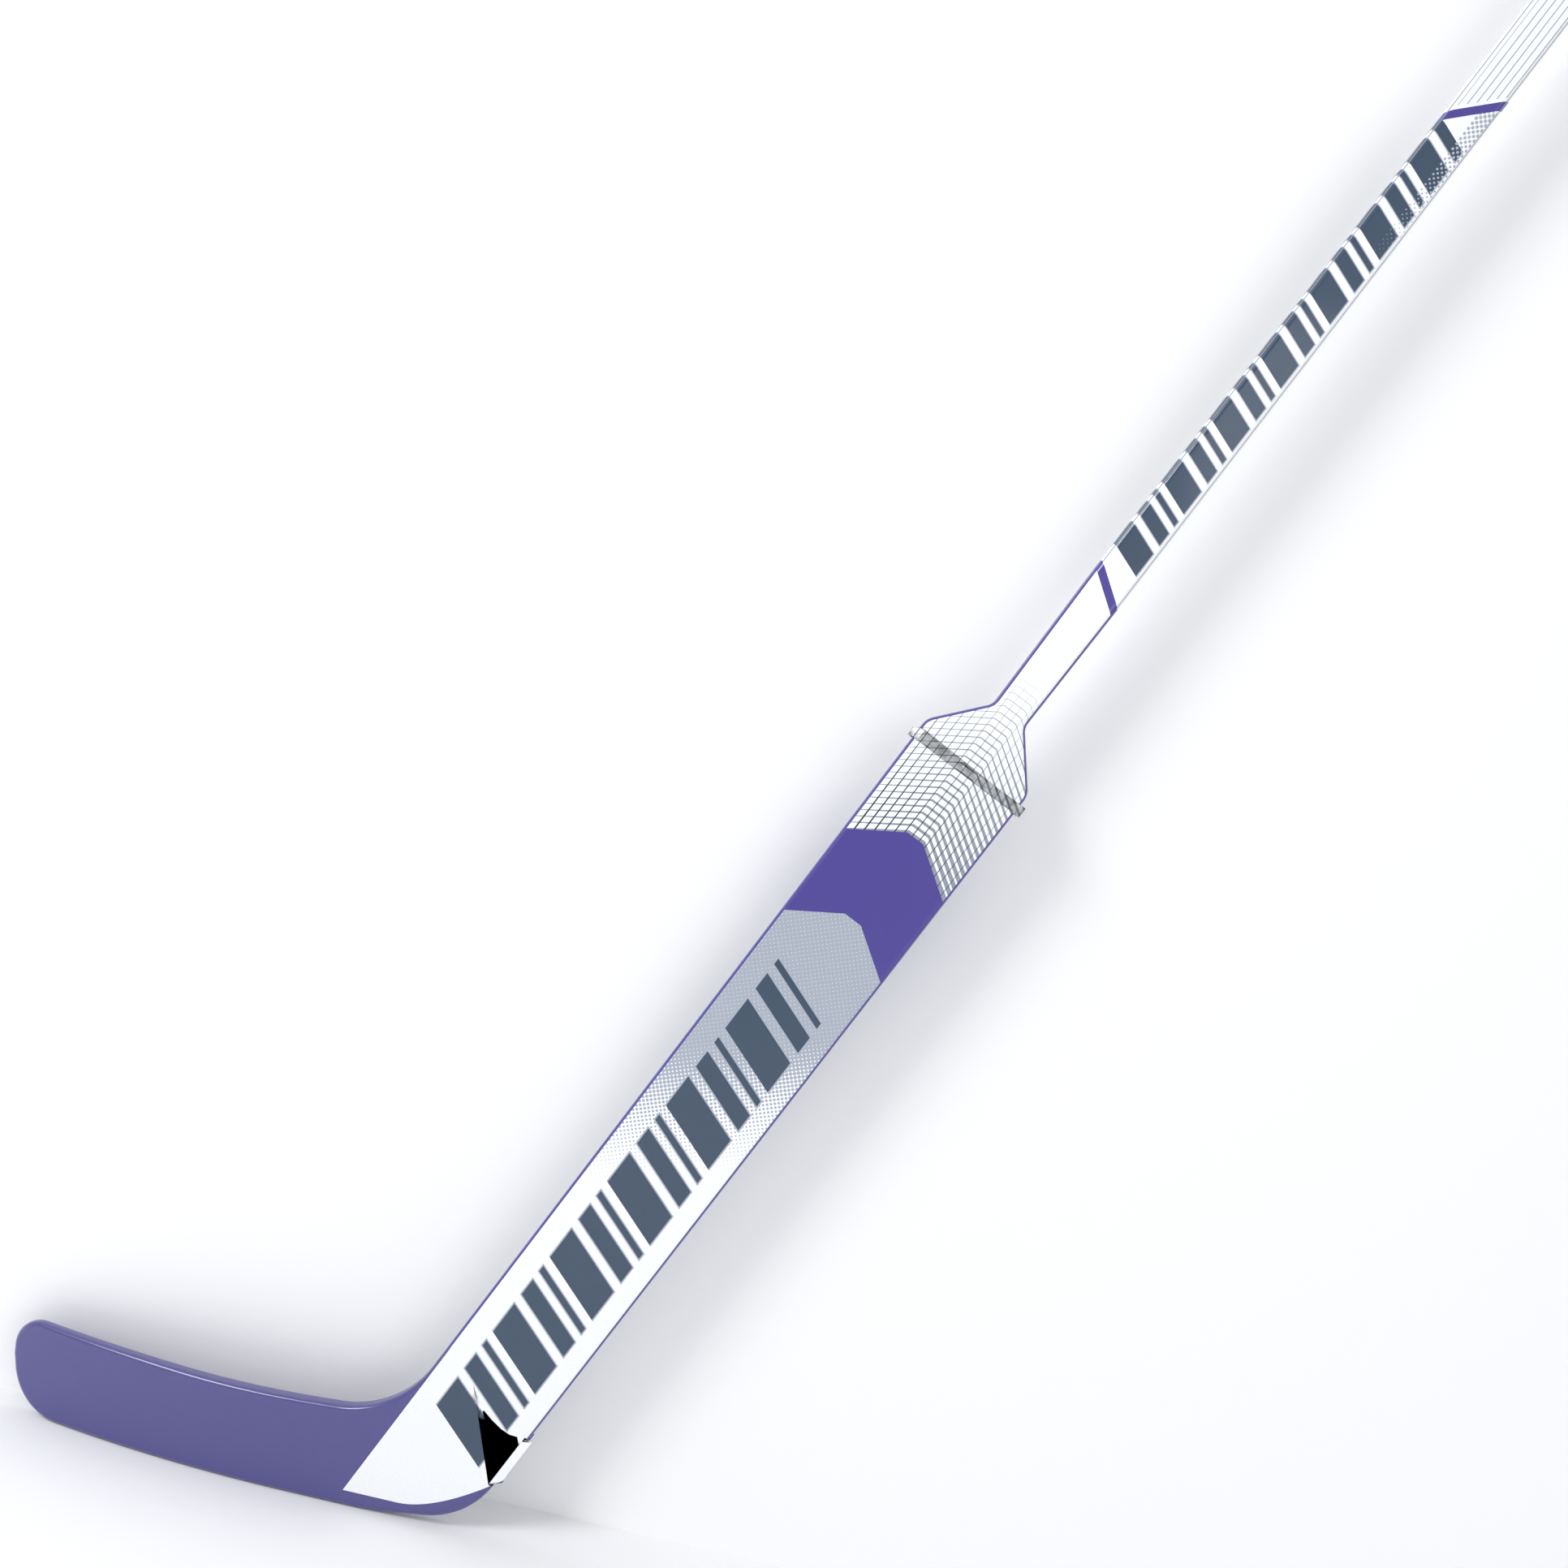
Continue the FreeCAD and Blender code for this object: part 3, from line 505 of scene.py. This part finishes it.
def speckled(name, dark, light, scale, roughness, bump_size, stretch=(1, 1, 1), turn=0.0):
    """A rough material whose colour and relief follow one noise, stretched where it has a grain."""
    material, add = new_material(name)
    place = add("ShaderNodeTexCoord", out=3)
    local = add("ShaderNodeMapping", place, (0, 0, 0), (0, turn, 0), stretch, vector_type="TEXTURE")
    noise = add("ShaderNodeTexNoise", local, sockets={"Scale": scale, "Detail": 6.0, "Roughness": 0.6})
    mask = add("ShaderNodeMapRange", noise, 0.3, 0.7, 0.0, 1.0)
    colour = add(MIX, data_type="RGBA", out=2, sockets={0: mask, 6: paint(dark), 7: paint(light)})
    bump = add("ShaderNodeBump", sockets={"Strength": 0.3, "Distance": bump_size, "Height": noise})
    shader = add("ShaderNodeBsdfPrincipled", sockets={
        "Base Color": colour, "Roughness": roughness, "IOR": 1.5, "Normal": bump})
    add("ShaderNodeOutputMaterial", shader)
    return material


rubber = speckled("Moulded_black_rubber", "17171A", "232327", 1800.0, 0.62, 0.0002)
birch = speckled("Sanded_birch", "C0996A", "E0C293", 240.0, 0.55, 0.0001, (1, 1, 14), math.pi / 2 - LIE)
foam = speckled("Closed_cell_foam", "D8CFB2", "F0E9D2", 1200.0, 0.8, 0.0004)
plug.data.materials.append(rubber)
HIDDEN = {"paddle_stem": birch, "blade_rib": birch, "paddle_core_left": foam, "paddle_core_right": foam,
          "blade_core_lower": foam, "blade_core_upper": foam}
for name, node in frame["nodes"].items():
    finish = HIDDEN.get(name, laminate if name != "butt_plug" else rubber)
    node.data.materials.clear()
    node.data.materials.append(finish)

# %% [markdown]
# ## The studio
# A pale floor and a pale wall just behind the stick catch its soft shadow. One large soft lamp from the
# upper left gives the shadow its direction, and a dim bright sky fills the rest.

# %% Floor, wall, lamps and camera

def stage_sheet(name, corners, tone):
    mesh = bpy.data.meshes.new(name)
    mesh.from_pydata(corners, [], [(0, 1, 2, 3)])
    sheet = bpy.data.objects.new(name, mesh)
    bpy.context.collection.objects.link(sheet)
    material, add = new_material(f"{name}_paper")
    shader = add("ShaderNodeBsdfPrincipled", sockets={"Base Color": paint(tone), "Roughness": 0.9,
                                                      "Specular IOR Level": 0.2})
    clear = add("ShaderNodeBsdfTransparent")
    behind = add("ShaderNodeNewGeometry", out=6)
    add("ShaderNodeOutputMaterial", add("ShaderNodeMixShader", behind, shader, clear))
    mesh.materials.append(material)
    return sheet


stage_sheet("floor", [(-4, -4, -0.0006), (4, -4, -0.0006), (4, 4, -0.0006), (-4, 4, -0.0006)], "F4F5F7")
stage_sheet("wall", [(-4, 0.05, -0.1), (4, 0.05, -0.1), (4, 0.05, 4), (-4, 0.05, 4)], "F4F5F7")

world = bpy.data.worlds.new("Soft_sky")
world.use_nodes = True
world.node_tree.nodes["Background"].inputs[0].default_value = (1, 1, 1, 1)
world.node_tree.nodes["Background"].inputs[1].default_value = 0.55
bpy.context.scene.world = world


def lamp(name, place, target, size, power):
    light = bpy.data.lights.new(name, "AREA")
    light.size = size
    light.energy = power
    holder = bpy.data.objects.new(name, light)
    bpy.context.collection.objects.link(holder)
    from mathutils import Vector
    holder.location = place
    holder.rotation_euler = (Vector(target) - Vector(place)).to_track_quat("-Z", "Y").to_euler()
    return holder


lamp("key_lamp", (-1.3, -1.5, 2.0), (0.1, 0, 0.5), 0.9, 34)
lamp("fill_lamp", (1.6, -2.2, 1.0), (0.2, 0, 0.6), 1.6, 14)

# The camera looks a little down from above the paddle's middle, rolled so that the shaft leans further.
camera_data = bpy.data.cameras.new("camera")
camera = bpy.data.objects.new("camera", camera_data)
bpy.context.collection.objects.link(camera)
bpy.context.scene.camera = camera
IMAGE = 1932
FOCAL = 1851.5
camera_data.sensor_width = 36.0
camera_data.lens = FOCAL / IMAGE * 36.0
camera_data.shift_x = 7.9 / IMAGE
camera_data.shift_y = 126.9 / IMAGE
camera_data.clip_start = 0.05


def turn_about(vector):
    """The rotation matrix of a rotation vector (Rodrigues' formula)."""
    angle = float(np.linalg.norm(vector))
    x, y, z = np.array(vector) / angle
    cross = np.array([[0, -z, y], [z, 0, -x], [-y, x, 0]])
    return np.eye(3) + math.sin(angle) * cross + (1 - math.cos(angle)) * cross @ cross


from mathutils import Matrix
facing = turn_about((0.08813, 0.0418, 0.21293)) @ np.array([[1, 0, 0], [0, 0, -1], [0, 1, 0.0]])
pose = np.eye(4)
pose[:3, :3] = np.stack([facing[0], -facing[1], -facing[2]], 1)
pose[:3, 3] = (0.2638, -1.06331, 0.61759)
camera.matrix_world = Matrix(pose.tolist())
bpy.context.scene.view_settings.view_transform = "Standard"
